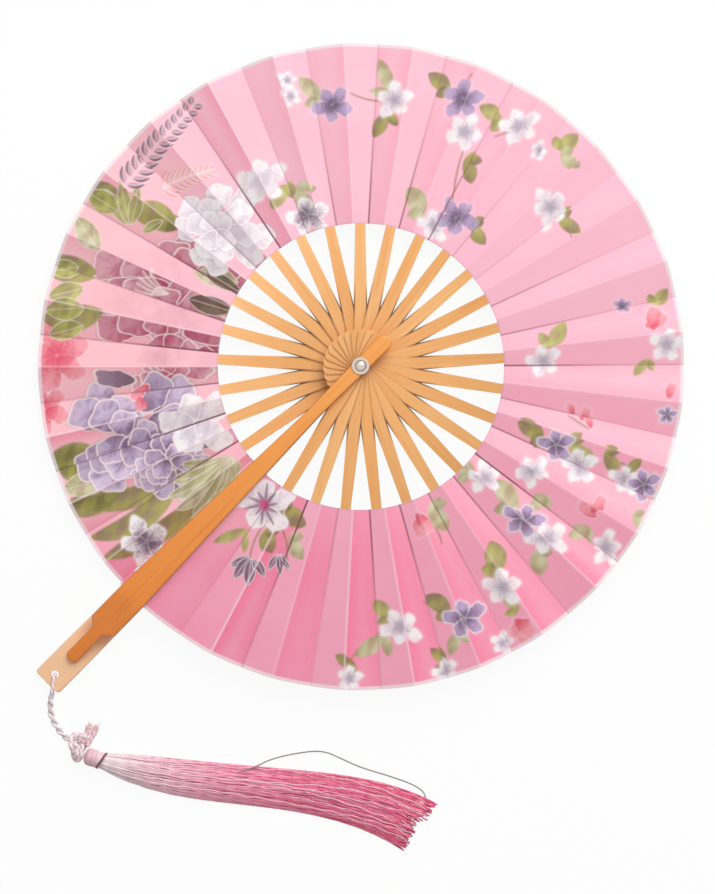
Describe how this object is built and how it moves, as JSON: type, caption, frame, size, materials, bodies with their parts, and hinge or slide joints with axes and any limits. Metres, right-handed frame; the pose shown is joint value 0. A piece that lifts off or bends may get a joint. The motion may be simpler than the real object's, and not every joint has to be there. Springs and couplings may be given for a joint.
{
  "type": "folding fan",
  "caption": "Full-circle folding fan: thin ribs on one rivet carry a pleated fabric leaf between two long guards that close into the handle, with a corded tassel.",
  "frame": {"origin": "the pivot's axis where it meets the back face of the rear guard, which lies on the table", "axes": "+Z up along the pivot, out of the front of the open fan; +X to the right and +Y up in the picture, so the handle points to -X -Y"},
  "size_m": [0.3618, 0.4549, 0.0233],
  "materials": {
    "guard bamboo": "satin lacquer",
    "rib bamboo": "satin",
    "printed silk": "pleated, floral print",
    "rivet steel": "bright",
    "tassel cord": "twisted rayon",
    "binding thread": "matte",
    "tassel thread": "silky"
  },
  "bodies": {
    "rear_guard": {"rear_guard": "guard bamboo", "rivet": "rivet steel", "front_washer": "rivet steel", "rear_washer": "rivet steel", "leaf": "printed silk"},
    "rib_28": {"rib_28": "rib bamboo"},
    "rib_27": {"rib_27": "rib bamboo"},
    "rib_26": {"rib_26": "rib bamboo"},
    "rib_25": {"rib_25": "rib bamboo"},
    "rib_24": {"rib_24": "rib bamboo"},
    "rib_23": {"rib_23": "rib bamboo"},
    "rib_22": {"rib_22": "rib bamboo"},
    "rib_21": {"rib_21": "rib bamboo"},
    "rib_20": {"rib_20": "rib bamboo"},
    "rib_19": {"rib_19": "rib bamboo"},
    "rib_18": {"rib_18": "rib bamboo"},
    "rib_17": {"rib_17": "rib bamboo"},
    "rib_16": {"rib_16": "rib bamboo"},
    "rib_15": {"rib_15": "rib bamboo"},
    "rib_14": {"rib_14": "rib bamboo"},
    "rib_13": {"rib_13": "rib bamboo"},
    "rib_12": {"rib_12": "rib bamboo"},
    "rib_11": {"rib_11": "rib bamboo"},
    "rib_10": {"rib_10": "rib bamboo"},
    "rib_09": {"rib_09": "rib bamboo"},
    "rib_08": {"rib_08": "rib bamboo"},
    "rib_07": {"rib_07": "rib bamboo"},
    "rib_06": {"rib_06": "rib bamboo"},
    "rib_05": {"rib_05": "rib bamboo"},
    "rib_04": {"rib_04": "rib bamboo"},
    "rib_03": {"rib_03": "rib bamboo"},
    "rib_02": {"rib_02": "rib bamboo"},
    "rib_01": {"rib_01": "rib bamboo"},
    "front_guard": {"front_guard": "guard bamboo"},
    "tassel": {"tassel_loop": "tassel cord", "tassel_cord": "tassel cord", "tassel_knot": "tassel cord", "tassel_tails": "tassel cord", "tassel_head": "tassel cord", "tassel_band": "binding thread", "tassel_skirt": "tassel thread"}
  },
  "joints": [
    {"name": "rib_28_fold", "type": "hinge", "parent": "rear_guard", "child": "rib_28", "pos_m": [0, 0, 0], "axis": [0, 0, 1], "range_deg": [0, 10.91], "deforming": ["leaf"]},
    {"name": "rib_27_fold", "type": "hinge", "parent": "rib_28", "child": "rib_27", "pos_m": [0, 0, 0], "axis": [0, 0, 1], "range_deg": [0, 12.41], "deforming": ["leaf"]},
    {"name": "rib_26_fold", "type": "hinge", "parent": "rib_27", "child": "rib_26", "pos_m": [0, 0, 0], "axis": [0, 0, 1], "range_deg": [0, 12.41], "deforming": ["leaf"]},
    {"name": "rib_25_fold", "type": "hinge", "parent": "rib_26", "child": "rib_25", "pos_m": [0, 0, 0], "axis": [0, 0, 1], "range_deg": [0, 12.41], "deforming": ["leaf"]},
    {"name": "rib_24_fold", "type": "hinge", "parent": "rib_25", "child": "rib_24", "pos_m": [0, 0, 0], "axis": [0, 0, 1], "range_deg": [0, 12.41], "deforming": ["leaf"]},
    {"name": "rib_23_fold", "type": "hinge", "parent": "rib_24", "child": "rib_23", "pos_m": [0, 0, 0], "axis": [0, 0, 1], "range_deg": [0, 12.41], "deforming": ["leaf"]},
    {"name": "rib_22_fold", "type": "hinge", "parent": "rib_23", "child": "rib_22", "pos_m": [0, 0, 0], "axis": [0, 0, 1], "range_deg": [0, 12.41], "deforming": ["leaf"]},
    {"name": "rib_21_fold", "type": "hinge", "parent": "rib_22", "child": "rib_21", "pos_m": [0, 0, 0], "axis": [0, 0, 1], "range_deg": [0, 12.41], "deforming": ["leaf"]},
    {"name": "rib_20_fold", "type": "hinge", "parent": "rib_21", "child": "rib_20", "pos_m": [0, 0, 0], "axis": [0, 0, 1], "range_deg": [0, 12.41], "deforming": ["leaf"]},
    {"name": "rib_19_fold", "type": "hinge", "parent": "rib_20", "child": "rib_19", "pos_m": [0, 0, 0], "axis": [0, 0, 1], "range_deg": [0, 12.41], "deforming": ["leaf"]},
    {"name": "rib_18_fold", "type": "hinge", "parent": "rib_19", "child": "rib_18", "pos_m": [0, 0, 0], "axis": [0, 0, 1], "range_deg": [0, 12.41], "deforming": ["leaf"]},
    {"name": "rib_17_fold", "type": "hinge", "parent": "rib_18", "child": "rib_17", "pos_m": [0, 0, 0], "axis": [0, 0, 1], "range_deg": [0, 12.41], "deforming": ["leaf"]},
    {"name": "rib_16_fold", "type": "hinge", "parent": "rib_17", "child": "rib_16", "pos_m": [0, 0, 0], "axis": [0, 0, 1], "range_deg": [0, 12.41], "deforming": ["leaf"]},
    {"name": "rib_15_fold", "type": "hinge", "parent": "rib_16", "child": "rib_15", "pos_m": [0, 0, 0], "axis": [0, 0, 1], "range_deg": [0, 12.41], "deforming": ["leaf"]},
    {"name": "rib_14_fold", "type": "hinge", "parent": "rib_15", "child": "rib_14", "pos_m": [0, 0, 0], "axis": [0, 0, 1], "range_deg": [0, 12.41], "deforming": ["leaf"]},
    {"name": "rib_13_fold", "type": "hinge", "parent": "rib_14", "child": "rib_13", "pos_m": [0, 0, 0], "axis": [0, 0, 1], "range_deg": [0, 12.41], "deforming": ["leaf"]},
    {"name": "rib_12_fold", "type": "hinge", "parent": "rib_13", "child": "rib_12", "pos_m": [0, 0, 0], "axis": [0, 0, 1], "range_deg": [0, 12.41], "deforming": ["leaf"]},
    {"name": "rib_11_fold", "type": "hinge", "parent": "rib_12", "child": "rib_11", "pos_m": [0, 0, 0], "axis": [0, 0, 1], "range_deg": [0, 12.41], "deforming": ["leaf"]},
    {"name": "rib_10_fold", "type": "hinge", "parent": "rib_11", "child": "rib_10", "pos_m": [0, 0, 0], "axis": [0, 0, 1], "range_deg": [0, 12.41], "deforming": ["leaf"]},
    {"name": "rib_09_fold", "type": "hinge", "parent": "rib_10", "child": "rib_09", "pos_m": [0, 0, 0], "axis": [0, 0, 1], "range_deg": [0, 12.41], "deforming": ["leaf"]},
    {"name": "rib_08_fold", "type": "hinge", "parent": "rib_09", "child": "rib_08", "pos_m": [0, 0, 0], "axis": [0, 0, 1], "range_deg": [0, 12.41], "deforming": ["leaf"]},
    {"name": "rib_07_fold", "type": "hinge", "parent": "rib_08", "child": "rib_07", "pos_m": [0, 0, 0], "axis": [0, 0, 1], "range_deg": [0, 12.41], "deforming": ["leaf"]},
    {"name": "rib_06_fold", "type": "hinge", "parent": "rib_07", "child": "rib_06", "pos_m": [0, 0, 0], "axis": [0, 0, 1], "range_deg": [0, 12.41], "deforming": ["leaf"]},
    {"name": "rib_05_fold", "type": "hinge", "parent": "rib_06", "child": "rib_05", "pos_m": [0, 0, 0], "axis": [0, 0, 1], "range_deg": [0, 12.41], "deforming": ["leaf"]},
    {"name": "rib_04_fold", "type": "hinge", "parent": "rib_05", "child": "rib_04", "pos_m": [0, 0, 0], "axis": [0, 0, 1], "range_deg": [0, 12.41], "deforming": ["leaf"]},
    {"name": "rib_03_fold", "type": "hinge", "parent": "rib_04", "child": "rib_03", "pos_m": [0, 0, 0], "axis": [0, 0, 1], "range_deg": [0, 12.41], "deforming": ["leaf"]},
    {"name": "rib_02_fold", "type": "hinge", "parent": "rib_03", "child": "rib_02", "pos_m": [0, 0, 0], "axis": [0, 0, 1], "range_deg": [0, 12.41], "deforming": ["leaf"]},
    {"name": "rib_01_fold", "type": "hinge", "parent": "rib_02", "child": "rib_01", "pos_m": [0, 0, 0], "axis": [0, 0, 1], "range_deg": [0, 12.41], "deforming": ["leaf"]},
    {"name": "front_guard_fold", "type": "hinge", "parent": "rib_01", "child": "front_guard", "pos_m": [0, 0, 0], "axis": [0, 0, 1], "range_deg": [0, 13.91], "deforming": ["leaf"]},
    {"name": "tassel_swing", "type": "hinge", "parent": "rear_guard", "child": "tassel", "pos_m": [-0.17123, -0.17243, 0.0053], "axis": [0, 0, 1], "range_deg": [-80, 10]}
  ],
  "couplings": [
    {"joint": "rib_27_fold", "follows": "rib_28_fold", "ratio": 1.1374},
    {"joint": "rib_26_fold", "follows": "rib_28_fold", "ratio": 1.1374},
    {"joint": "rib_25_fold", "follows": "rib_28_fold", "ratio": 1.1374},
    {"joint": "rib_24_fold", "follows": "rib_28_fold", "ratio": 1.1374},
    {"joint": "rib_23_fold", "follows": "rib_28_fold", "ratio": 1.1374},
    {"joint": "rib_22_fold", "follows": "rib_28_fold", "ratio": 1.1374},
    {"joint": "rib_21_fold", "follows": "rib_28_fold", "ratio": 1.1374},
    {"joint": "rib_20_fold", "follows": "rib_28_fold", "ratio": 1.1374},
    {"joint": "rib_19_fold", "follows": "rib_28_fold", "ratio": 1.1374},
    {"joint": "rib_18_fold", "follows": "rib_28_fold", "ratio": 1.1374},
    {"joint": "rib_17_fold", "follows": "rib_28_fold", "ratio": 1.1374},
    {"joint": "rib_16_fold", "follows": "rib_28_fold", "ratio": 1.1374},
    {"joint": "rib_15_fold", "follows": "rib_28_fold", "ratio": 1.1374},
    {"joint": "rib_14_fold", "follows": "rib_28_fold", "ratio": 1.1374},
    {"joint": "rib_13_fold", "follows": "rib_28_fold", "ratio": 1.1374},
    {"joint": "rib_12_fold", "follows": "rib_28_fold", "ratio": 1.1374},
    {"joint": "rib_11_fold", "follows": "rib_28_fold", "ratio": 1.1374},
    {"joint": "rib_10_fold", "follows": "rib_28_fold", "ratio": 1.1374},
    {"joint": "rib_09_fold", "follows": "rib_28_fold", "ratio": 1.1374},
    {"joint": "rib_08_fold", "follows": "rib_28_fold", "ratio": 1.1374},
    {"joint": "rib_07_fold", "follows": "rib_28_fold", "ratio": 1.1374},
    {"joint": "rib_06_fold", "follows": "rib_28_fold", "ratio": 1.1374},
    {"joint": "rib_05_fold", "follows": "rib_28_fold", "ratio": 1.1374},
    {"joint": "rib_04_fold", "follows": "rib_28_fold", "ratio": 1.1374},
    {"joint": "rib_03_fold", "follows": "rib_28_fold", "ratio": 1.1374},
    {"joint": "rib_02_fold", "follows": "rib_28_fold", "ratio": 1.1374},
    {"joint": "rib_01_fold", "follows": "rib_28_fold", "ratio": 1.1374},
    {"joint": "front_guard_fold", "follows": "rib_28_fold", "ratio": 1.2749}
  ]
}
